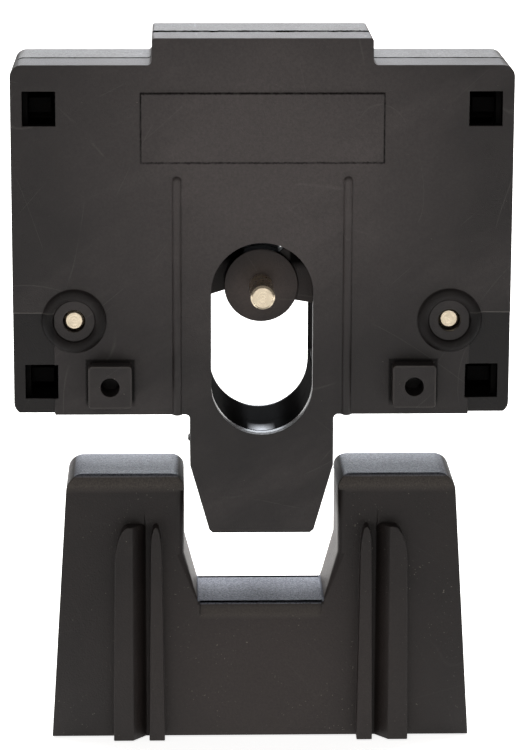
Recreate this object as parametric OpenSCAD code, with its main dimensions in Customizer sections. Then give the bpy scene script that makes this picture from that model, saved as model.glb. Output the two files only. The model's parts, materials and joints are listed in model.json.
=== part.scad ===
// Mechanical interlock for two contactors that stand side by side, with the
// mounting block that carries it.  X is across, Y is the thickness (front is
// -Y) and Z is up.  The origin is the middle of the block's foot.
// All sizes are in millimetres.

/* [Interlock unit] */
// Width of the unit
unit_w = 62; // [52:1:76]
// Height of the unit between its shoulders and its lower edge
unit_h = 44; // [42:0.5:56]
// Thickness of the unit, front face to rear face
unit_t = 16; // [15:0.5:20]
// Depth of the front cover, from the front face to the parting line
front_depth = 7; // [6:0.5:8]
// Wall thickness of both covers
wall = 2.1; // [1.8:0.1:2.6]
// Corner radius of the unit
unit_r = 1.5; // [0.8:0.1:3]
// Width of the raised middle of the top edge
hat_w = 27.2; // [20:0.2:36]
// Height of the raised middle of the top edge
hat_h = 3.3; // [2.4:0.1:6]

/* [Tongue] */
// Width of the tongue under the unit
tongue_w = 18; // [16.5:0.5:20]
// Length of the tongue
tongue_l = 15.4; // [14:0.2:20]
// Height of the tapered end of the tongue
tongue_taper_l = 8.8; // [4:0.2:9]
// Width of the tongue at its tip
tongue_tip_w = 13.2; // [9:0.2:15]

/* [Slot] */
// Width of the slot that the drive pins travel in
slot_w = 12.7; // [11.5:0.1:14]
// Length of the slot, end to end
slot_l = 24.5; // [23:0.5:26]
// Height of the slot's upper arc centre above the unit's lower edge
slot_z = 15.5; // [14.5:0.1:16.5]

/* [Levers] */
// Distance between the two axles
axle_pitch = 46.8; // [42:0.2:52]
// Height of the axles above the unit's lower edge
axle_z = 12; // [11:0.1:13]
// Diameter of the axles
axle_d = 2.5; // [2:0.1:3]
// Length of the axles
axle_l = 14.5; // [13:0.1:15.4]
// Diameter of the drive pins
drive_pin_d = 3; // [2.5:0.1:4]
// Length of drive pin that stands out of the unit's face
drive_pin_out = 2.9; // [1.5:0.1:5]
// Diameter of the disc at the end of each lever
disc_d = 9.3; // [7:0.1:10]
// Depth of the disc's face below the unit's face
disc_depth = 5; // [4:0.1:5.4]
// Angle that a lever turns through, from rest to fully driven
lever_turn = 22; // [10:1:24]
// Diameter of the locking roller between the two lever rims
roller_d = 4; // [3:0.1:5]
// Height of the locking roller above the unit's lower edge
roller_z = 29; // [27.5:0.1:31]
// Travel of the locking roller to each side
roller_travel = 1; // [0.5:0.1:1.5]

/* [Face details] */
// Width and height of the square pegs on both faces
peg_w = 5.4; // [4.5:0.1:6.5]
// Height that the pegs stand proud of the face
peg_out = 2.4; // [1:0.1:4]
// Diameter of the blind hole in each peg
peg_hole_d = 2.35; // [1.5:0.05:3]
// Distance between the two pegs on a face
peg_pitch = 37.9; // [34:0.1:41]
// Width of the latch windows in the front face
window_w = 4.1; // [3.5:0.1:5]
// Height of the latch windows
window_h = 4.3; // [3.8:0.1:5]
// Width of the raised label pad
pad_w = 30; // [20:1:40]
// Height of the raised label pad
pad_h = 8.6; // [6:0.2:10]

/* [Mounting block] */
// Width of the block at its foot
block_foot_w = 53.6; // [50:0.2:64]
// Width of the block at its top
block_top_w = 49.2; // [46:0.2:60]
// Height of the block
block_h = 34.7; // [30:0.1:45]
// Thickness of the block without its rails
block_t = 12; // [10:0.5:15]
// Wall thickness of the block
block_wall = 2; // [1.6:0.1:3]
// Side clearance between the tongue and the notch
notch_gap = 0.75; // [0.2:0.05:1.5]
// Depth of the notch
notch_depth = 16.8; // [15.8:0.1:22]
// Height of the rails on both faces of the block
rail_h = 28.4; // [20:0.2:29]
// Gap between the block's arms and the unit above them, as drawn
lift_gap = 8.4; // [0.2:0.1:20]

/* [Hidden] */
$fn = 64;

eps = 0.01;            // overlap that joins one shape of a piece to the next
part_gap = 0.1;        // joint line between the two covers

// where things are
face = unit_t / 2;                    // distance of each face from the middle plane
inner = face - wall;                  // distance of each inner face from the middle plane
part_y = front_depth - face;          // the parting line
unit_z = block_h + lift_gap;          // the unit's lower edge above the foot
axle_x = axle_pitch / 2;
slot_low_z = slot_z - (slot_l - slot_w);
window_x = unit_w / 2 - 1.45 - window_w / 2;
window_top_z = unit_h - 3.25 - window_h / 2;
window_low_z = 2.1 + window_h / 2;
pad_z = unit_h - 7.8;
peg_z = 4.05;
collar_w = 1.2;                       // wall of the rear cover's collar around the slot
step_x = unit_w / 2 - 5.1;            // inner side of the stepped lower corners

// running and joint clearances
run_gap = 0.05;        // axle in a lever's bore, on the radius
fit_gap = 0.01;        // fixed pin in its hole, on the radius
side_gap = 0.2;        // between two levers, and a lever and its stop
snap_gap = 0.1;        // hook to ledge

// raised bead around each axle hole, and the pad behind it
bead_r = 3.3;
bead_thick = 0.75;
axle_pad_r = 5;
axle_pad_y = inner - 1.9;      // inner end of the axle pad, from the middle plane
mouth_r = axle_d / 2 + 0.15;
mouth_deep = 1.9;
axle_shift = 0.35;             // how far each axle sits off the middle, one forward, one back

// lever
web_out = axle_pad_y - 1.8;    // outer side of the lever's web, from the middle plane
roller_reach = norm([axle_x, roller_z - axle_z]);
roller_gap = 0.15;
rim_r = roller_reach - roller_d / 2 - roller_travel - roller_gap;
rim_low = 180 - atan((roller_z - axle_z) / axle_x) + 3;      // polar angle of the rim's tip
rim_high = rim_low - lever_turn - 8;
hub_r = 3.9;
pin_stem_r = drive_pin_d / 2 - 0.2;    // thin end of a drive pin
guide_face = web_out + 0.3;    // face of the roller's guide pads
roller_len = 2 * (guide_face + 1.5);
guide_r = roller_d / 2 + 0.08;

// lower edge of each lever, [in line with the slot, in line with its axle]
front_edge = [slot_z - 1.35, axle_z - 1.75];
rear_edge = [slot_z + 0.25, axle_z - 3.75];

// return springs
spring_x = axle_x - 13;
spring_r = 1.6;        // to the middle of the wire
wire_d = 0.5;
spring_turns = 7;
spring_peg_r = spring_r - wire_d / 2 - 0.45;
seat_w = 4;
seat_z = rear_edge[0] + (rear_edge[1] - rear_edge[0]) * (spring_x + seat_w / 2) / axle_x - 0.15;

ledge_y = part_y - part_gap / 2 - 1.6;     // front of the ledges that the hooks grip

// bars on the faces
bar_x = 10.6;
bar_r = 0.575;
bar_top = 29.65;

// block
notch_w = tongue_w + 2 * notch_gap;
notch_floor_w = 16;
notch_taper_h = 6.5;
edge_h = 2;            // height of the rolled edge along the top of the block
edge_in = 0.75;        // how far that edge leans in
rail_out = face - block_t / 2;

function unit(v) = v / norm(v);
function polar(r, a) = [r * cos(a), r * sin(a)];
function flat(c) = [c[0], c[1]];

// An outline from corners [x, z, radius], read anticlockwise, each corner
// rounded by a true arc: outer corners are cut back and inner ones filled
module rounded(c) {
    n = len(c);
    difference() {
        union() {
            polygon([for (q = c) flat(q)]);
            for (i = [0:n - 1]) corner_piece(c[i], c[(i + n - 1) % n], c[(i + 1) % n], -1);
        }
        for (i = [0:n - 1]) corner_piece(c[i], c[(i + n - 1) % n], c[(i + 1) % n], 1);
    }
}

// What lies between the sharp corner p and its arc, if the corner turns the given way
module corner_piece(p, a, b, way) {
    u = unit(flat(a) - flat(p));
    v = unit(flat(b) - flat(p));
    half = acos(u * v) / 2;
    side = u.x * v.y - u.y * v.x < 0 ? 1 : -1;
    if (p[2] > 0 && side == way) {
        centre = flat(p) + unit(u + v) * p[2] / sin(half);
        tip = flat(p) + (flat(p) - centre) * 0.2;
        difference() {
            polygon([tip, flat(p) + u * p[2] / tan(half), centre, flat(p) + v * p[2] / tan(half)]);
            translate(centre) circle(p[2]);
        }
    }
}

// The right half of an outline, read upwards, with its mirror image added
function mirrored(half) =
    concat(half, [for (i = [len(half) - 1:-1:0]) [-half[i][0], half[i][1], half[i][2]]]);

// Extrudes a drawing of the XZ plane from y0 to y1
module slab(y0, y1) {
    translate([0, y1, 0]) rotate([90, 0, 0]) linear_extrude(height = y1 - y0) children();
}

// A round bar along Y at [x, z]
module bar(at, r, y0, y1) {
    slab(y0, y1) translate(at) circle(r);
}

// A pin along Y with both ends chamfered
module chamfered_pin(at, r, y0, y1, c) {
    bar(at, r, y0 + c, y1 - c);
    translate([at.x, y0 + c, at.y]) rotate([90, 0, 0]) cylinder(h = c, r1 = r, r2 = r - c);
    translate([at.x, y1 - c, at.y]) rotate([-90, 0, 0]) cylinder(h = c, r1 = r, r2 = r - c);
}

// Outline of the unit, drawn in by i on every side
module unit_outline(i = 0) {
    r = max(unit_r - i, 0.4);
    rounded(mirrored([
        [tongue_tip_w / 2 - i - 0.45, i - tongue_l, 0],
        [tongue_tip_w / 2 - i, i - tongue_l + 0.4, 0],
        [tongue_w / 2 - i, i - tongue_l + tongue_taper_l, 0],
        [tongue_w / 2 - i, i, 0.6],
        [unit_w / 2 - i, i, r],
        [unit_w / 2 - i, unit_h - i, r],
        [hat_w / 2 - i, unit_h - i, 0.6],
        [hat_w / 2 - i, unit_h + hat_h - i, 0.4]]));
}

// The slot, drawn out by g on every side
module slot_outline(g = 0) {
    for (z = [slot_low_z, slot_z]) translate([0, z]) circle(slot_w / 2 + g);
    translate([-slot_w / 2 - g, slot_low_z]) square([slot_w + 2 * g, slot_z - slot_low_z]);
}

// Everything that both covers have on their outside: bars, pegs and beads
module face_features() {
    for (s = [-1, 1]) {
        translate([s * bar_x, -face + bar_r - 0.5, -0.05]) cylinder(h = bar_top, r = bar_r);
        translate([s * bar_x, -face + bar_r - 0.5, bar_top - 0.05]) sphere(bar_r);
        slab(-face - peg_out, -face + eps) translate([s * peg_pitch / 2, peg_z])
            rounded([for (c = [[-1, -1], [1, -1], [1, 1], [-1, 1]])
                [c.x * peg_w / 2, c.y * peg_w / 2, 0.5]]);
        translate([s * axle_x, -face + bead_thick * 0.2, axle_z]) rotate([90, 0, 0])
            rotate_extrude() translate([bead_r, 0]) circle(bead_thick);
    }
}

// Pads inside a cover for both axles and the roller's guide
module inner_pads() {
    for (s = [-1, 1]) bar([s * axle_x, axle_z], axle_pad_r, -inner - eps, -axle_pad_y);
    slab(-inner - eps, -guide_face)
        translate([-roller_travel - roller_d, roller_z - roller_d / 2 - 1.5])
            square([2 * (roller_travel + roller_d), roller_d + 3]);
}

// What is cut from both covers: slot, axle bores, peg holes, roller guide
module face_cuts() {
    slab(-face - 1, -inner + eps) slot_outline();
    for (s = [-1, 1]) {
        bar([s * axle_x, axle_z], axle_d / 2 + fit_gap, -face - 1, 0);
        bar([s * axle_x, axle_z], mouth_r, -face - 1, -face + mouth_deep);
        bar([s * peg_pitch / 2, peg_z], peg_hole_d / 2, -face - peg_out - 1, -face + 1.6);
    }
    slab(-guide_face - 1.7, -guide_face + eps) {
        for (s = [-1, 1]) translate([s * roller_travel, roller_z]) circle(guide_r);
        translate([-roller_travel, roller_z - guide_r]) square([2 * roller_travel, 2 * guide_r]);
    }
}

// The ledge that a latch hook catches on, at a window
module ledge(s, z) {
    translate([s > 0 ? window_x - 1.6 : -unit_w / 2 + wall - eps, ledge_y, z])
        cube([unit_w / 2 - wall - window_x + 1.6 + eps, 1.4, 1.5]);
}

module front_cover() {
    color("#2e2b2a") difference() {
        union() {
            difference() {
                slab(-face, part_y - part_gap / 2) unit_outline();
                slab(-inner, part_y + 1) unit_outline(wall);
                slab(-inner, part_y + 1) slot_outline(collar_w + side_gap);
                // shallow step of both lower corners
                for (s = [0, 1]) mirror([s, 0, 0]) {
                    slab(-face - 1, -face + 0.25) translate([step_x, -1]) square([unit_w, 14]);
                    slab(-face - 1, face) translate([step_x, -1]) square([unit_w, 1.25]);
                }
            }
            inner_pads();
            face_features();
            slab(-face - 0.25, -face + eps) translate([-pad_w / 2, pad_z - pad_h / 2])
                square([pad_w, pad_h]);
            for (s = [-1, 1]) {
                ledge(s, window_top_z - 1.9);
                ledge(s, window_low_z + 0.4);
                translate([s * tongue_w / 2, -3, -4.4]) rotate([-90, 0, 0])
                    cylinder(h = 3 + part_y - part_gap / 2, r = 0.25);
            }
        }
        face_cuts();
        // latch windows
        for (s = [-1, 1], z = [window_top_z, window_low_z])
            slab(-face - 1, -inner + eps) translate([s * window_x - window_w / 2, z - window_h / 2])
                square([window_w, window_h]);
    }
}

// A latch hook that reaches forward from the rear cover and grips a ledge
module hook(s, z, way) {
    reach = ledge_y - snap_gap;
    x0 = s > 0 ? window_x - 1.4 : -window_x - 1.4;
    arm_z = way > 0 ? z : z - 1.2;
    translate([x0, reach, arm_z]) cube([2.8, inner - reach + eps, 1.2]);
    slab(reach - 1.2, reach) translate([x0, way > 0 ? z - 0.7 : z - 1.2]) square([2.8, 1.9]);
}

module rear_cover() {
    color("#2b2827") difference() {
        union() {
            difference() {
                slab(part_y + part_gap / 2, face) unit_outline();
                slab(part_y - 1, inner) unit_outline(wall);
            }
            rotate([0, 0, 180]) {
                inner_pads();
                face_features();
            }
            // collar around the slot's lower end
            slab(-inner + side_gap, inner + eps) intersection() {
                slot_outline(collar_w);
                translate([-slot_w, slot_low_z - slot_w]) square([2 * slot_w, slot_w + 1.7]);
            }
            // lip that seats inside the front cover, cut away at the tongue, springs and hooks
            difference() {
                union() {
                    slab(part_y - 0.9, part_y + 0.9) unit_outline(wall + 0.12);
                    slab(part_y + part_gap / 2, part_y + 0.9) unit_outline(1);
                }
                slab(part_y - 2, part_y + 2) unit_outline(wall + 1);
                slab(part_y - 2, part_y + part_gap / 2) translate([-tongue_w, -tongue_l - 1])
                    square([2 * tongue_w, tongue_l + 5]);
                for (s = [-1, 1]) translate([s * spring_x - 2.6, part_y - 2, wall])
                    cube([5.2, 4, 3]);
                for (s = [-1, 1], z = [window_top_z, window_low_z])
                    translate([s * window_x - 3, part_y - 2, z - 3]) cube([6, 2 + part_gap / 2, 6]);
            }
            for (s = [-1, 1]) {
                hook(s, window_top_z - 0.4 + snap_gap, 1);
                hook(s, window_low_z + 0.4 - snap_gap, -1);
                // spring pegs on the lower wall
                translate([s * spring_x, 0, wall - eps]) cylinder(h = 1.5, r = spring_peg_r);
            }
        }
        rotate([0, 0, 180]) face_cuts();
        slab(-inner, face + 1) slot_outline();
    }
}

// A turned axle on side s; the two are alike but sit a little forward and back
module axle(s) {
    y = s * axle_shift;
    color("#c9bfa6") chamfered_pin([s * axle_x, axle_z], axle_d / 2, y - axle_l / 2, y + axle_l / 2, 0.25);
}

// Web of a lever, seen from the front with its pivot on the right
module web_outline(edge) {
    polygon(concat(
        [[0, edge[0]], [axle_x, edge[1]], [axle_x + 2, axle_z]],
        [for (i = [0:12]) [axle_x, axle_z] + polar(rim_r, rim_high + (rim_low - rim_high) * i / 12)],
        [[3.2, slot_z + 5], [0, slot_z + 2]]));
}

// A lever with its pivot on the right and its disc in front; the one behind is
// turned round.  Its web carries a facet at the free end if end_w is above 0
module lever(edge, end_w) {
    color("#3a322e") difference() {
        union() {
            slab(-web_out, -side_gap) {
                web_outline(edge);
                if (end_w > 0) polygon([[1, slot_z - 2], [1, slot_z + 4.6], [-1.7, slot_z + 4.3],
                    [-end_w, slot_z + 3.3], [-end_w - 0.4, slot_z - 1]]);
            }
            // thick arm from the hub past the spring seat
            slab(-web_out, web_out) intersection() {
                web_outline(edge);
                polygon([[spring_x - 2, 0], [axle_x + 3, 0], [axle_x + 3, axle_z + 2.5],
                         [spring_x - 2, slot_z + 1]]);
            }
            slab(-spring_r - wire_d, spring_r + wire_d) translate([spring_x - seat_w / 2, seat_z])
                square([seat_w, 2]);
            translate([spring_x, 0, seat_z - 1.2]) cylinder(h = 1.2 + eps, r = spring_peg_r);
            bar([axle_x, axle_z], hub_r, -axle_pad_y + run_gap, axle_pad_y - run_gap);
            bar([0, slot_z], disc_d / 2, -face + disc_depth, -side_gap);
        }
        bar([axle_x, axle_z], axle_d / 2 + run_gap, -face, face);
        bar([0, slot_z], pin_stem_r + fit_gap, -face, face);
        // notch that the locking roller drops into at rest
        bar([axle_x, axle_z] + polar(roller_reach - 2 * roller_travel, rim_low - 3),
            roller_d / 2 + 0.3, -face, face);
        // lightening holes
        for (a = [[15.5, 0], [15.5, 14], [9, 30]])
            bar([axle_x, axle_z] + polar(a[0], rim_low - 4 - a[1]), 2.2, -face, face);
    }
}

module front_lever() { lever(front_edge, 0); }
module rear_lever() { rotate([0, 0, 180]) lever(rear_edge, 4.05); }

// Stepped pin: the thin end is pressed into the lever, the free end drives
module drive_pin() {
    color("#cdc3ab") {
        chamfered_pin([0, slot_z], drive_pin_d / 2, -face - drive_pin_out, -face + disc_depth, 0.25);
        bar([0, slot_z], pin_stem_r, -face + disc_depth - 0.3, -side_gap - 0.05);
    }
}

module front_drive_pin() { drive_pin(); }
module rear_drive_pin() { rotate([0, 0, 180]) drive_pin(); }

// Compression spring between the lower wall and a lever's seat
module return_spring(s) {
    sides = 8;
    per_turn = 16;
    low = wall + 0.06 + wire_d / 2;
    high = seat_z - 0.06 - wire_d / 2;
    rings = spring_turns * per_turn;
    // the end coils lie flat, and the rest rises evenly between them
    function rise(t) = let (u = (t * spring_turns - 0.8) / (spring_turns - 1.6)) max(0, min(1, u));
    function centre(t) =
        [spring_r * cos(t * 360 * spring_turns), spring_r * sin(t * 360 * spring_turns),
         low + (high - low) * rise(t)];
    points = [for (i = [0:rings], k = [0:sides - 1])
        let (t = i / rings, c = centre(t), a = t * 360 * spring_turns, w = k * 360 / sides)
        c + wire_d / 2 * [cos(w) * cos(a), cos(w) * sin(a), sin(w)]];
    skin = [for (i = [0:rings - 1], k = [0:sides - 1])
        let (a = i * sides + k, b = i * sides + (k + 1) % sides)
        [a, a + sides, b + sides, b]];
    ends = [[for (k = [0:sides - 1]) k],
            [for (k = [sides - 1:-1:0]) rings * sides + k]];
    color("#a8a59c") translate([s * spring_x, 0, 0]) polyhedron(points, concat(skin, ends));
}

module locking_roller() {
    color("#b9b3a4") chamfered_pin([0, roller_z], roller_d / 2, -roller_len / 2, roller_len / 2, 0.3);
}

// Outline of the block, drawn in by i on every side that is not the foot
module block_outline(i = 0) {
    r = max(2.2 - i, 0.5);
    lean = (block_foot_w - block_top_w) / 2 / block_h;
    rounded(mirrored([
        [block_foot_w / 2 - i, 0, 0],
        [block_foot_w / 2 - i - lean * (block_h - i), block_h - i, r],
        [notch_w / 2 + i, block_h - i, r * 0.8],
        [notch_w / 2 + i, block_h - notch_depth + notch_taper_h - i / 3, 0],
        [notch_floor_w / 2 + i * 0.8, block_h - notch_depth - i, 0]]));
}

// Rolls off the block's edges at height z, from x0 to x1, on both faces: an arc
// that leaves the face smoothly and meets the top in a crisp edge
module edge_cut(x0, x1, z) {
    r = (edge_h * edge_h + edge_in * edge_in) / (2 * edge_in);
    for (s = [0, 1]) mirror([0, s, 0]) difference() {
        translate([x0, block_t / 2 - edge_in, z - edge_h]) cube([x1 - x0, edge_in + 1, edge_h + 1]);
        translate([x0 - 1, block_t / 2 - r, z - edge_h]) rotate([0, 90, 0])
            cylinder(h = x1 - x0 + 2, r = r);
    }
}

// Outline of a rail on the right arm: foot corners at x0 and x1, leaning in to
// its tip, with the nose starting at nose0 and nose1 below the tip
module rail_outline(x0, x1, tip0, tip1, nose0, nose1) {
    draft = 0.3;
    steps = 8;
    polygon(concat(
        [[x0, 0], [x1, 0]],
        [for (i = [0:steps]) let (a = i * 90 / steps)
            [tip1 + (x1 - draft - tip1) * cos(a), rail_h - nose1 * (1 - sin(a))]],
        [for (i = [steps:-1:0]) let (a = i * 90 / steps)
            [tip0 + (x0 + draft - tip0) * cos(a), rail_h - nose0 * (1 - sin(a))]]));
}

// The rails of the front face: on each arm a narrow inner one, and a wide outer
// one whose flank slopes down towards the narrow one
module rails() {
    foot = -block_t / 2;
    top = -block_t / 2 - rail_out;
    for (s = [0, 1]) mirror([s, 0, 0]) {
        slab(top, foot + eps) rail_outline(12.3, 14.3, 13.3, 13.4, 4.5, 3);
        slab(top, foot + eps) rail_outline(16.35, 18.85, 16.7, 16.8, 0.3, 5);
        intersection() {
            linear_extrude(height = rail_h + 1)
                polygon([[14.7, foot + eps], [17.5, foot + eps], [17.5, top], [16.35, top]]);
            slab(top, 0) rail_outline(14.4, 18.85, 15.4, 16.8, 1.2, 5);
        }
    }
}

module mounting_block() {
    y = block_t / 2 - block_wall;
    color("#2f2b28") {
        difference() {
            slab(-block_t / 2, block_t / 2) block_outline();
            // hollow, open at the foot, with a web in line with each side of the notch
            difference() {
                slab(-y, y) block_outline(block_wall);
                for (s = [-1, 1]) translate([s * notch_w / 2 - 0.7, -y - 1, 2])
                    cube([1.4, 2 * y + 2, block_h]);
            }
            slab(-y, y) translate([-block_foot_w / 2 + block_wall, -1])
                square([block_foot_w - 2 * block_wall, 1.1]);
            edge_cut(-block_foot_w / 2 - 1, -notch_w / 2 + 0.5, block_h);
            edge_cut(notch_w / 2 - 0.5, block_foot_w / 2 + 1, block_h);
            edge_cut(-notch_floor_w / 2 + 0.2, notch_floor_w / 2 - 0.2, block_h - notch_depth);
        }
        rails();
        rotate([0, 0, 180]) rails();
    }
}

module on_unit() { translate([0, 0, unit_z]) children(); }

mounting_block();
on_unit() front_cover();
on_unit() rear_cover();
on_unit() axle(1);  // right_axle
on_unit() axle(-1);  // left_axle
on_unit() front_lever();
on_unit() rear_lever();
on_unit() front_drive_pin();
on_unit() rear_drive_pin();
on_unit() return_spring(1);  // right_return_spring
on_unit() return_spring(-1);  // left_return_spring
on_unit() locking_roller();
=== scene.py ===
"""Looks for the contactor interlock and the block that carries it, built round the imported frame."""

import json
import math

import bpy
from mathutils import Matrix, Vector


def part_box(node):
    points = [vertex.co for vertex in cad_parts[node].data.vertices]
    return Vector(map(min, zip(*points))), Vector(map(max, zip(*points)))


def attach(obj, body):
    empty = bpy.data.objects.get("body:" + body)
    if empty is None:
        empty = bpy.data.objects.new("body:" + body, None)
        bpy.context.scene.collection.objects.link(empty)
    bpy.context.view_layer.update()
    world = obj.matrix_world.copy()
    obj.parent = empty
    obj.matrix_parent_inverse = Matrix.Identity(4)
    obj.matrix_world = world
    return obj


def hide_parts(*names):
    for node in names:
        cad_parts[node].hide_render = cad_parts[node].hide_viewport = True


MM = 0.001

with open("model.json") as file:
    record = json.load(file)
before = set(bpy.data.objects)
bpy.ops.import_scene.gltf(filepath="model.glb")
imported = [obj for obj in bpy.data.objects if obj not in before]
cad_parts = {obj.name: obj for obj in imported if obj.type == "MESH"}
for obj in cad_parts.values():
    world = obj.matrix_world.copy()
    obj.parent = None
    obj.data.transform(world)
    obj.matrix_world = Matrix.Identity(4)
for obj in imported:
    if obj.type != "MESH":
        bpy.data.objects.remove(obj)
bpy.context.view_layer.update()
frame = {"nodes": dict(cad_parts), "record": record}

# ---------------------------------------------- places on the part, in millimetres


def corners(node):
    """The lowest and the highest corner of a frame node."""
    return [Vector(corner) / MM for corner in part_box(node)]


def middle(node):
    low, high = corners(node)
    return (low + high) / 2


AXLE, PIN = middle("right_axle"), middle("front_drive_pin")

# the covers
HAT_TOP = corners("front_cover")[1].z
SHOULDER = HAT_TOP - 3.3
FACE = 8.0  # from the middle plane to each face
PARTING = -1.0  # where the two covers meet, through the unit
SLOT_X, SLOT_Z, SLOT_TALL = 6.5, 52.6, 12.6  # half width, middle and half height
WINDOW_IN, WINDOW_OUT = 25.35, 29.65
WINDOW_ROWS = (81.7, 47.3)
PAD_X, PAD_Z, PAD_TALL = 15.0, 79.3, 4.3
PEG_X, PEG_Z, PEG_HALF = 18.95, 47.15, 2.7
CORNER_X, CORNER_Z = 25.9, 56.1  # inner edges of the stepped lower corners
DISC_FACE = -3.0  # front of the front lever's disc, through the unit

# the block
BLOCK_TOP = corners("mounting_block")[1].z
BLOCK_FACE = 6.0
NOTCH_FLOOR = 17.9
NOTCH_X = 9.75  # half width of the notch between the arms
RAIL_X, RAIL_TOP = 15.2, 28.4  # middle of each pair of rails, and their upper ends

# ------------------------------------------------------------------------- colours

SLOT_SHADE_BLACK = (0.004, 0.004, 0.005)
CORNER_SHADE = (0.0035, 0.003, 0.003)
COLLAR_GLINT = (0.2, 0.23, 0.31)
TOP_GREY = (0.14, 0.138, 0.136)
RUBBED = (0.14, 0.13, 0.12)
DUST = (0.26, 0.235, 0.2)
STEP_HIGHLIGHT = (0.12, 0.11, 0.1)
PEG_HIGHLIGHT = (0.09, 0.08, 0.072)
CROWN_REFLECTION_BLUE, CROWN_REFLECTION_SPECK = (0.085, 0.093, 0.119), (0.35, 0.38, 0.46)
ROLLED_EDGE_SHEEN = (0.07, 0.06, 0.051)
NOTCH_WALL_SHEEN = (0.11, 0.09, 0.074)


# ---------------------------------------------------------------- shader maths


class Value:
    """A socket of the material being built, so that node maths reads as arithmetic."""

    def __init__(self, tree, socket):
        self.tree, self.socket = tree, socket

    def maths(self, operation, *inputs):
        node = self.tree.nodes.new("ShaderNodeMath")
        node.operation = operation
        for place, given in zip(node.inputs, inputs):
            if isinstance(given, Value):
                self.tree.links.new(given.socket, place)
            else:
                place.default_value = given
        return Value(self.tree, node.outputs[0])

    def __add__(self, other):
        return self.maths("ADD", self, other)

    __radd__ = __add__

    def __sub__(self, other):
        return self.maths("SUBTRACT", self, other)

    def __rsub__(self, other):
        return self.maths("SUBTRACT", other, self)

    def __mul__(self, other):
        return self.maths("MULTIPLY", self, other)

    __rmul__ = __mul__

    def __truediv__(self, other):
        return self.maths("DIVIDE", self, other)

    def abs(self):
        return self.maths("ABSOLUTE", self)

    def sine(self):
        return self.maths("SINE", self)

    def power(self, other):
        return self.maths("POWER", self, other)

    def least(self, other):
        return self.maths("MINIMUM", self, other)

    def most(self, other):
        return self.maths("MAXIMUM", self, other)

    def ramp(self, low, high, to_low=0.0, to_high=1.0):
        """This value, stretched so that low gives to_low and high gives to_high, and held there beyond."""
        node = self.tree.nodes.new("ShaderNodeMapRange")
        self.tree.links.new(self.socket, node.inputs["Value"])
        for name, given in zip(("From Min", "From Max", "To Min", "To Max"), (low, high, to_low, to_high)):
            if isinstance(given, Value):
                self.tree.links.new(given.socket, node.inputs[name])
            else:
                node.inputs[name].default_value = given
        return Value(self.tree, node.outputs[0])


class Finish:
    """A material, and the one way that its nodes are made."""

    def __init__(self, name):
        self.material = bpy.data.materials.new(name)
        self.material.use_nodes = True
        self.tree = self.material.node_tree
        self.shader = self.tree.nodes["Principled BSDF"]
        self.place = self.node("ShaderNodeTexCoord", output="Object")
        parts = self.tree.nodes.new("ShaderNodeSeparateXYZ")
        self.tree.links.new(self.place.socket, parts.inputs[0])
        # distances across, through and up, in millimetres
        self.x, self.y, self.z = (Value(self.tree, s) * 1000 for s in parts.outputs)

    def node(self, kind, settings=None, inputs=None, output=0):
        """A new node with its settings, its sockets' values or links, and one of its outputs, as a value."""
        made = self.tree.nodes.new(kind)
        for key, setting in (settings or {}).items():
            setattr(made, key, setting)
        for key, given in (inputs or {}).items():
            if isinstance(given, Value):
                self.tree.links.new(given.socket, made.inputs[key])
            else:
                made.inputs[key].default_value = given
        return Value(self.tree, made.outputs[output])

    def noise(self, per_mm, detail=2.0, rough=0.5, at=None):
        return self.node(
            "ShaderNodeTexNoise",
            inputs={"Vector": at or self.place, "Scale": per_mm * 1000, "Detail": detail, "Roughness": rough},
            output="Fac",
        )

    def stretched(self, turn, stretch, away=0.0):
        """The object's own coordinates, moved away, turned about Y and stretched along the turned X."""
        return self.node(
            "ShaderNodeMapping",
            {"vector_type": "TEXTURE"},
            {
                "Vector": self.place,
                "Location": (away, away, 0),
                "Rotation": (0, turn, 0),
                "Scale": (stretch, 1, 1),
            },
        )

    def hide(self, amount):
        """Turns the surface to unlit black by an amount of 0 to 1, as in a gap or a deep shadow."""
        black = self.node("ShaderNodeBsdfDiffuse", inputs={"Color": (0.002, 0.002, 0.002, 1.0)})
        surface = Value(self.tree, self.shader.outputs[0])
        both = self.node("ShaderNodeMixShader", inputs={0: amount, 1: surface, 2: black})
        self.tree.links.new(both.socket, self.tree.nodes["Material Output"].inputs["Surface"])

    def mix(self, factor, one, two):
        """A colour between one and two, each a colour or a value."""
        one, two = (c if isinstance(c, Value) else (*c, 1.0) for c in (one, two))
        return self.node("ShaderNodeMix", {"data_type": "RGBA"}, {0: factor, 6: one, 7: two}, output=2)

    def set(self, **inputs):
        for key, given in inputs.items():
            place = self.shader.inputs[key.replace("_", " ")]
            if isinstance(given, Value):
                self.tree.links.new(given.socket, place)
            else:
                place.default_value = given
        return self

    def relief(self, height, depth_mm, strength=1.0):
        """Bump from a height of 0 to 1, which stands for depth_mm."""
        sockets = {"Height": height, "Distance": depth_mm * MM, "Strength": strength}
        return self.set(Normal=self.node("ShaderNodeBump", inputs=sockets, output="Normal"))


def scratches(finish, turns):
    """Thin curved hairlines that wander in a few directions: 1 on a line and 0 elsewhere."""
    marks = None
    for number, (turn, stretch, per_mm, width) in enumerate(turns):
        field = finish.noise(per_mm, 0.0, 0.5, finish.stretched(turn, stretch, number * 0.37))
        line = 1 - (field - 0.5).abs().ramp(0, width)
        breaks = finish.noise(0.13, 1.0, 0.5, finish.stretched(turn, 1.0, number * 0.61 + 0.2))
        line = line * breaks.ramp(0.53, 0.6)
        marks = line if marks is None else marks.most(line)
    return marks


def near(value, place, half, soft):
    """1 where the value is within half of the place, fading to 0 over soft."""
    return 1 - (value - place).abs().ramp(half, half + soft)


# each family of hairlines: its turn, its stretch, how many to the millimetre and their width
HAIRLINES = (
    (0.5, 2.5, 0.06, 0.003),
    (-0.75, 3.5, 0.08, 0.003),
    (1.35, 2.2, 0.1, 0.004),
    (2.3, 5.0, 0.07, 0.0025),
)


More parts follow.
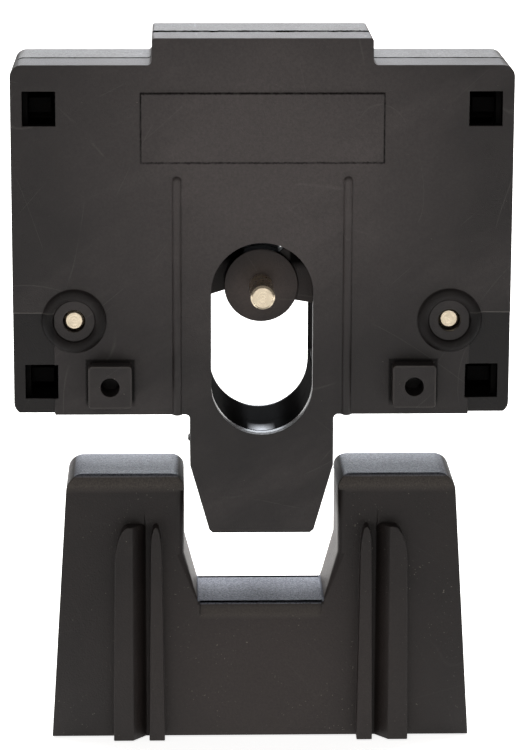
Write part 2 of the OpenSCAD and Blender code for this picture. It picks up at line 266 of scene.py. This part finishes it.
def moulded_plastic(name, colour, pale, grain_mm, rough, specks, centre, details, rubbed=1.0, ior=1.46):
    """Dark moulded plastic: fine spark-eroded grain, a cloudy sheen, a painted sheen paler round a centre, dust
    and hairline rubs.
    """
    f = Finish(name)
    grain = f.noise(1 / grain_mm, 3.0, 0.6)
    cloud = f.noise(0.035, 3.0, 0.55)
    fine_cloud = f.noise(0.22, 3.0, 0.6)
    dust = f.noise(3.4, 1.0, 0.4).ramp(specks, specks + 0.03) * f.noise(0.16, 1.0).ramp(0.4, 0.6)
    rubs = scratches(f, HAIRLINES) * rubbed
    smudge = f.noise(0.11, 4.0, 0.62, f.stretched(-0.5, 3.0)).ramp(0.5, 0.72) * rubbed
    shade = (cloud * 0.65 + fine_cloud * 0.35).ramp(0.32, 0.68) * 0.3 + smudge * 0.35
    # painted sheen: paler around the middle of the face, round the given centre
    x0, z0, half_x, half_z = centre
    across, up = (f.x - x0) / half_x, (f.z - z0) / half_z
    shade = shade + 1 - (across * across + up * up).power(0.5).ramp(0.1, 1.0)
    base = f.mix(shade.least(1.0), colour, pale)
    base = f.mix(rubs * 0.2, base, RUBBED)
    base = f.mix(dust * 0.5, base, DUST)
    roughness = (rough + (cloud - 0.5) * 0.16 + (fine_cloud - 0.5) * 0.08 - rubs * 0.06).most(0.12)
    height = grain * 0.9 + rubs * 0.3
    # fine mottling of the moulded skin
    mottle = f.noise(3.2, 3.0, 0.75).ramp(0.3, 0.7, 0.0, 0.35)
    base = f.mix(mottle, base, tuple(c * 0.45 for c in colour))
    base, roughness, height = details(f, base, roughness, height)
    f.set(Base_Color=base, Roughness=roughness, IOR=ior).relief(height, grain_mm * 0.3)
    return f.material


def cover_details(f, base, roughness, height):
    """The slot, glossier and painted near black as shade but for a painted highlight, the windows painted black
    as shade, the ragged parting line, and painted shadow and highlights round the edges that stand off the
    face.
    """
    ragged = f.noise(1.1, 3.0, 0.7)
    fine = f.noise(4.0, 2.0, 0.6)
    on_face = 1 - f.y.ramp(0.4 - FACE, 0.5 - FACE)

    slot = near(f.x, 0.0, SLOT_X, 0.02) * near(f.z, SLOT_Z, SLOT_TALL, 0.02)
    inside = slot * near(f.y, 0.5, 7.3, 0.02)
    # inside the slot the plastic is glossier and smoother, and painted near black as shade
    roughness = roughness * (1 - inside) + inside * 0.2
    base = f.mix(inside, base, SLOT_SHADE_BLACK)
    height = height * (1 - inside * 0.95)
    # the collar's wall is in shadow but for a patch of light at its lowest point
    glint = near(f.x, 0.0, 0.3, 1.5) * f.y.ramp(-5.2, -2.2, 1.0, 0.0) * f.z.ramp(45.0, 46.0, 1.0, 0.0)
    base = f.mix(glint * inside, base, COLLAR_GLINT)
    collar = slot * near(f.y, 0.85, 6.6, 0.1) * (1 - glint)
    # painted shade on the front cover's wall of the slot, above its lowest part
    front_wall = inside * (1 - f.y.ramp(2.15 - FACE, 2.25 - FACE)) * f.z.ramp(41.5, 47.5)

    # the parting line is widest and most ragged on the hat, and hair-thin down the sides
    hat = f.z.ramp(SHOULDER + 1.8, SHOULDER + 2.0)
    top = near(f.z, SHOULDER, 0.15, 0.1).most(near(f.z, HAT_TOP, 0.15, 0.1))
    waver = (ragged - 0.5) * (0.5 + hat * 1.6) * top
    parting = near(f.y + waver, PARTING, 0.07 + top * 0.22 + hat * 0.35, 0.06 + top * 0.2) * (1 - inside)
    # behind it the edge is coarser
    rear = f.y.ramp(PARTING + 0.1, PARTING + 0.3)
    height = height + rear * ragged * 0.8
    base = f.mix(rear * top * fine.ramp(0.3, 0.7), base, TOP_GREY)

    # painted shade over everything seen inside the windows
    upper, lower = (near(f.z, row, 2.6, 0.1) for row in WINDOW_ROWS)
    past_inner_edge = f.x.abs().ramp(WINDOW_IN - 0.05, WINDOW_IN + 0.05) * near(f.y, -0.9, 6.6, 0.1)
    windows = past_inner_edge * (upper + lower) * (1 - f.x.abs().ramp(WINDOW_OUT - 0.05, WINDOW_OUT + 0.05))

    # painted shadow along the raised outline of the label pad
    pad_sides = near(f.x.abs() + (fine - 0.5) * 0.16, PAD_X, 0.06, 0.1) * near(f.z, PAD_Z, PAD_TALL + 0.05, 0.1)
    pad_ends = near((f.z - PAD_Z).abs() + (fine - 0.5) * 0.3, PAD_TALL, 0.07, 0.12) * near(f.x, 0.0, PAD_X, 0.1)
    pad = pad_sides.most(pad_ends) * on_face * ragged.ramp(0.3, 0.55, 0.35, 1.0)

    # painted shadow in the bead round each axle and at the edge of its inner disc, and round each square peg
    across, up = f.x.abs() - AXLE.x, f.z - AXLE.z
    out = (across * across + up * up).power(0.5)
    bead = near(out, 3.35, 0.45, 0.35) * on_face
    ring = near(out, 2.6, 0.03, 0.1) * on_face
    off_peg = (f.x.abs() - PEG_X).abs().most((f.z - PEG_Z).abs())
    peg_shadow = near(off_peg + (fine - 0.5) * 0.25, PEG_HALF + 0.15, 0.1, 0.22) * near(f.y, -FACE, 0.1, 0.1)
    peg_shadow = peg_shadow * f.z.ramp(PEG_Z - 3.15, PEG_Z - 2.15)
    # a painted highlight along the edge of each peg's face
    peg_rim_highlight = near(off_peg, PEG_HALF - 0.1, 0.05, 0.12) * (1 - f.y.ramp(-FACE - 1.9, -FACE - 1.8))
    base = f.mix(peg_rim_highlight * 0.22, base, PEG_HIGHLIGHT)

    # the stepped lower corners lie back, and are painted darker as shade, with a painted highlight along the
    # step
    outer = f.x.abs().ramp(CORNER_X - 0.05, CORNER_X + 0.05)
    corner = outer * (1 - f.z.ramp(CORNER_Z - 0.1, CORNER_Z + 0.05))
    base = f.mix(corner * 0.75, base, CORNER_SHADE)
    step_highlight = near(f.z + (fine - 0.5) * 0.1, CORNER_Z + 0.05, 0.03, 0.06) * outer * on_face
    base = f.mix(step_highlight * 0.7, base, STEP_HIGHLIGHT)
    # the parting line's gap goes unlit black, and painted shade covers the windows, the pad's outline, the bead
    # and ring, the pegs' surrounds, the slot's walls and the stepped corners
    f.hide(
        parting.most(windows * 0.9)
        .most(pad * 0.75)
        .most(bead * 0.55)
        .most(ring * 0.6)
        .most(peg_shadow * 0.7)
        .most(collar * 0.985)
        .most(front_wall * 0.85)
        .most(corner * on_face * 0.18)
    )
    return base, roughness, height


def block_details(f, base, roughness, height):
    """Coarser, glossier grain on the faces that look up, painted a speckled blue-grey as reflection, a painted
    paler sheen on the rolled edge along the top, painted shadow in its creases and painted pale light on the
    notch's walls.
    """
    speck = f.noise(5.0, 2.0, 0.75)
    specks = speck.ramp(0.4, 0.6)
    front = f.y.ramp(0.6 - BLOCK_FACE, 0.8 - BLOCK_FACE, 1.0, 0.0)
    behind_edge = f.y.ramp(0.1 - BLOCK_FACE, 0.2 - BLOCK_FACE)
    floor_of_notch = near(f.z, NOTCH_FLOOR, 0.3, 0.1) * near(f.x, 0.0, 8.5, 0.3) * behind_edge
    crown = f.z.ramp(BLOCK_TOP - 0.4, BLOCK_TOP - 0.2)
    up = crown.most(floor_of_notch)
    # painted reflection: the faces that look up, and the notch's floor, are painted a speckled blue-grey
    base = f.mix(up, base, CROWN_REFLECTION_BLUE)
    base = f.mix(up * specks, base, CROWN_REFLECTION_SPECK)
    roughness = roughness * (1 - crown * 0.35) + up * specks * 0.15
    height = height + up * speck * 1.5
    # rolled edges: a painted paler sheen along the crown and the notch's floor, with painted shadow along a
    # crease above
    crown_roll = near(f.z, BLOCK_TOP - 0.95, 0.45, 0.9) * front
    floor_roll = near(f.z, NOTCH_FLOOR - 1.2, 0.5, 0.6) * near(f.x, 0.0, 7.2, 0.9) * front * 0.7
    base = f.mix(crown_roll.most(floor_roll) * speck.ramp(0.3, 0.7, 0.35, 1.0), base, ROLLED_EDGE_SHEEN)
    jagged = f.z + (speck - 0.5) * 0.15
    crown_crease_shadow = near(jagged, BLOCK_TOP - 0.08, 0.1, 0.12)
    crown_crease_shadow = crown_crease_shadow * f.y.ramp(1.0 - BLOCK_FACE, 1.2 - BLOCK_FACE, 1.0, 0.0)
    floor_crease_shadow = near(jagged, NOTCH_FLOOR - 0.15, 0.1, 0.12) * front * near(f.x, 0.0, 8.0, 0.2)
    crease_shadow = crown_crease_shadow.most(floor_crease_shadow)
    # the walls of the notch are painted a pale beige, standing for the light that they catch
    wall = near(f.x.abs(), NOTCH_X - 0.75, 1.0, 0.15) * (1 - front) * near(f.z, NOTCH_FLOOR + 7.7, 7.0, 0.4)
    base = f.mix(wall, base, NOTCH_WALL_SHEEN)
    # light doesn't reach between the rails
    between_rails = near(f.y, -BLOCK_FACE, 0.35, 0.5) * near(f.x.abs(), RAIL_X, 1.2, 0.3)
    between_rails = between_rails * f.z.ramp(RAIL_TOP - 0.4, RAIL_TOP + 0.2, 1.0, 0.0)
    f.hide((crease_shadow * 0.6).most(between_rails * 0.35))
    return base, roughness, height


def lever_details(f, base, roughness, height):
    """The top of the disc and the ends of the webs lie in the shadow of the slot."""
    behind_disc = f.y.ramp(DISC_FACE + 0.05, DISC_FACE + 0.2)
    facet = near(f.x, 3.0, 0.5, 0.3) * near(f.z, 62.4, 0.6, 0.3)
    f.hide(behind_disc * f.z.ramp(60.5, 61.5) * (1 - facet * 0.8) * 0.95)
    return base, roughness, height


def turned_steel(name, centres, colour, rough):
    """Plated steel with the fine rings that a lathe leaves on an end face, round each centre [x, z]."""
    f = Finish(name)
    radius = None
    for x0, z0 in centres:
        across, up = f.x - x0, f.z - z0
        here = (across * across + up * up).power(0.5)
        radius = here if radius is None else radius.least(here)
    wander = f.noise(1.2, 2.0)
    rings = (radius * 17 + wander * 1.5).sine() * 0.5 + 0.5
    coarse = (radius * 7 + wander).sine() * 0.5 + 0.5
    stain = f.noise(0.9, 3.0, 0.6).ramp(0.45, 0.75)
    base = f.mix(stain * 0.5, colour, tuple(c * 0.72 for c in colour))
    f.set(
        Base_Color=base,
        Metallic=1.0,
        Roughness=rough + stain * 0.12 + f.noise(6.0, 2.0) * 0.08,
    ).relief(rings * 0.6 + coarse * 0.4, 0.008)
    return f.material


def drawn_wire(name):
    """Bright spring wire with faint drawing marks."""
    f = Finish(name)
    marks = f.noise(5.0, 3.0, 0.6)
    base = f.mix(marks, (0.42, 0.41, 0.39), (0.6, 0.59, 0.56))
    f.set(Base_Color=base, Metallic=1.0, Roughness=0.22 + marks * 0.2).relief(marks, 0.01)
    return f.material


# -------------------------------------------------------------------- modelling


def select_only(*objects):
    bpy.ops.object.select_all(action="DESELECT")
    for o in objects:
        o.select_set(True)
    bpy.context.view_layer.objects.active = objects[0]


def softened(node, width_mm, rolls=None):
    """A welded copy of a frame node with its sharp edges rolled off, which stands for the node."""
    source = frame["nodes"][node]
    piece = source.copy()
    piece.data = source.data.copy()
    piece.name = piece.data.name = node + "_moulded"
    bpy.context.scene.collection.objects.link(piece)
    piece.parent = None
    select_only(piece)
    bpy.ops.object.mode_set(mode="EDIT")
    bpy.ops.mesh.select_all(action="SELECT")
    bpy.ops.mesh.remove_doubles(threshold=2e-6)
    bpy.ops.mesh.dissolve_limited(angle_limit=math.radians(0.4))
    bpy.ops.object.mode_set(mode="OBJECT")
    if rolls:
        rolls(piece)
    bevel = piece.modifiers.new("rolled edges", "BEVEL")
    bevel.width = width_mm * MM
    bevel.segments = 3
    bevel.limit_method = "ANGLE"
    bevel.angle_limit = math.radians(35)
    bevel.use_clamp_overlap = False
    bevel.miter_outer = "MITER_SHARP"
    bpy.ops.object.modifier_apply(modifier=bevel.name)
    # a sharp mitre can stand a hair proud of the real outline
    low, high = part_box(node)
    for vertex in piece.data.vertices:
        vertex.co = [min(max(c, a), b) for c, a, b in zip(vertex.co, low, high)]
    bpy.ops.object.shade_smooth_by_angle(angle=math.radians(24))
    flat = piece.modifiers.new("flat faces", "WEIGHTED_NORMAL")
    flat.keep_sharp = True
    flat.weight = 100
    bpy.ops.object.modifier_apply(modifier=flat.name)
    piece.data.materials.clear()
    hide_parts(node)
    return piece


def on_notch_wall(point):
    """Whether a point, in millimetres, is on the front or back edge of a wall of the notch."""
    at_face = abs(abs(point.y) - BLOCK_FACE) < 0.05
    at_wall = NOTCH_X - 1.95 < abs(point.x) < NOTCH_X + 0.15
    return at_face and at_wall and NOTCH_FLOOR - 0.1 < point.z < BLOCK_TOP - 1.7


def roll_notch(piece):
    """Rolls off the front and back edges of the notch's walls, the block's roundest edges."""
    mesh = piece.data
    bpy.ops.object.mode_set(mode="EDIT")
    bpy.ops.mesh.select_mode(type="EDGE")
    bpy.ops.mesh.select_all(action="DESELECT")
    bpy.ops.object.mode_set(mode="OBJECT")
    for edge in mesh.edges:
        ends = [mesh.vertices[v].co / MM for v in edge.vertices]
        runs_up = abs(ends[0].z - ends[1].z) > 1.0
        edge.select = runs_up and all(on_notch_wall(end) for end in ends)
    bpy.ops.object.mode_set(mode="EDIT")
    bpy.ops.mesh.bevel(offset=1.1 * MM, offset_type="OFFSET", segments=6, affect="EDGES")
    bpy.ops.mesh.select_all(action="DESELECT")
    bpy.ops.object.mode_set(mode="OBJECT")


def dress(obj, material):
    obj.data.materials.clear()
    obj.data.materials.append(material)


body_of_node = {node: body for body, nodes in frame["record"]["behaviour"]["bodies"].items() for node in nodes}
slot_of_node = {s["node"]: s["material_slot"] for s in frame["record"]["subparts"]}

steel_ends = [middle(n).xz for n in ("right_axle", "left_axle", "front_drive_pin", "locking_roller")]

materials = {
    "cover_plastic": moulded_plastic(
        "charcoal cover",
        colour=(0.0088, 0.0068, 0.0066),
        pale=(0.069, 0.058, 0.056),
        grain_mm=0.16,
        rough=0.46,
        specks=0.80,
        centre=(0.0, 76.0, 28.0, 27.0),
        details=cover_details,
    ),
    "block_plastic": moulded_plastic(
        "charcoal block",
        colour=(0.0092, 0.0068, 0.0062),
        pale=(0.041, 0.032, 0.029),
        grain_mm=0.22,
        rough=0.5,
        specks=0.74,
        centre=(0.0, 8.0, 24.0, 22.0),
        details=block_details,
        rubbed=0.25,
        ior=1.41,
    ),
    "lever_plastic": moulded_plastic(
        "brown black lever",
        colour=(0.012, 0.008, 0.007),
        pale=(0.058, 0.042, 0.037),
        grain_mm=0.14,
        rough=0.42,
        specks=0.78,
        centre=(PIN.x, PIN.z, 5.4, 5.4),
        details=lever_details,
    ),
    "pin_steel": turned_steel("plated steel", steel_ends, colour=(0.88, 0.76, 0.57), rough=0.22),
    "spring_steel": drawn_wire("spring wire"),
}

# how far each moulded piece's sharp edges are rolled off, in millimetres
rolled = {
    "mounting_block": 0.12,
    "front_cover": 0.08,
    "rear_cover": 0.08,
    "front_lever": 0.1,
    "rear_lever": 0.1,
}

for node, obj in frame["nodes"].items():
    if node in rolled:
        piece = softened(node, rolled[node], rolls=roll_notch if node == "mounting_block" else None)
        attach(piece, body_of_node[node])
        dress(piece, materials[slot_of_node[node]])
    else:
        dress(obj, materials[slot_of_node[node]])


# ------------------------------------------------------------ floor, light, camera

bpy.ops.object.select_all(action="DESELECT")
bpy.ops.mesh.primitive_plane_add(size=12.0, location=(0, 0, -0.2 * MM))
floor = bpy.context.active_object
floor.name = "floor"
paper = Finish("white paper")
paper.set(Base_Color=paper.mix(paper.noise(0.5, 3.0), (0.86, 0.86, 0.86), (0.9, 0.9, 0.9)), Roughness=0.9)
# brighter from just in front of the part to far behind it
glow = paper.y.ramp(-40.0, -18.0)
paper.set(Emission_Color=paper.mix(glow, (0.0, 0.0, 0.0), (0.8, 0.8, 0.8)), Emission_Strength=1.0)
floor.data.materials.append(paper.material)


def soft_box(name, place, aim, size, power, colour):
    """A rectangular area light that faces a point."""
    bpy.ops.object.light_add(type="AREA", location=place)
    lamp = bpy.context.active_object
    lamp.name = name
    lamp.data.shape = "RECTANGLE"
    lamp.data.size, lamp.data.size_y = size
    lamp.data.energy = power
    lamp.data.color = colour
    lamp.rotation_mode = "QUATERNION"
    lamp.rotation_quaternion = (Vector(aim) - Vector(place)).to_track_quat("-Z", "Y")


soft_box("top light", (0.0, 0.55, 0.95), (0, 0.3, 0), (1.3, 0.8), 22.0, (1.0, 0.985, 0.975))
soft_box("back light", (0.0, 1.6, 0.34), (0, 0, 0.05), (0.5, 0.6), 2.7, (0.88, 0.93, 1.0))
soft_box("front light", (-0.15, -1.1, 0.75), (0, 0, 0.05), (0.7, 0.5), 3.0, (1.0, 0.97, 0.93))

world = bpy.context.scene.world or bpy.data.worlds.new("studio")
bpy.context.scene.world = world
world.use_nodes = True
sky = world.node_tree.nodes["Background"]
sky.inputs["Color"].default_value = (1.0, 0.965, 0.95, 1.0)
sky.inputs["Strength"].default_value = 0.18

bpy.context.scene.view_settings.view_transform = "Standard"

# the camera looks slightly down, from a little to the left of the middle
AIM = Vector((0.30, 0.0, 46.32)) * MM
DISTANCE = 409.3 * MM
LENS = 153.869
HIGH, LEFT, ROLL = math.radians(13.0), math.radians(-1.65), math.radians(0.18)
back = Vector((math.sin(LEFT) * math.cos(HIGH), -math.cos(LEFT) * math.cos(HIGH), math.sin(HIGH)))
bpy.ops.object.camera_add(location=AIM + back * DISTANCE)
camera = bpy.context.active_object
camera.name = "camera"
camera.rotation_mode = "QUATERNION"
camera.rotation_quaternion = (-back).to_track_quat("-Z", "Y")
camera.rotation_quaternion.rotate(Matrix.Rotation(ROLL, 3, back))
camera.data.sensor_fit = "AUTO"
camera.data.sensor_width = 36.0
camera.data.lens = LENS
camera.data.clip_start, camera.data.clip_end = 0.02, 50.0
bpy.context.scene.camera = camera
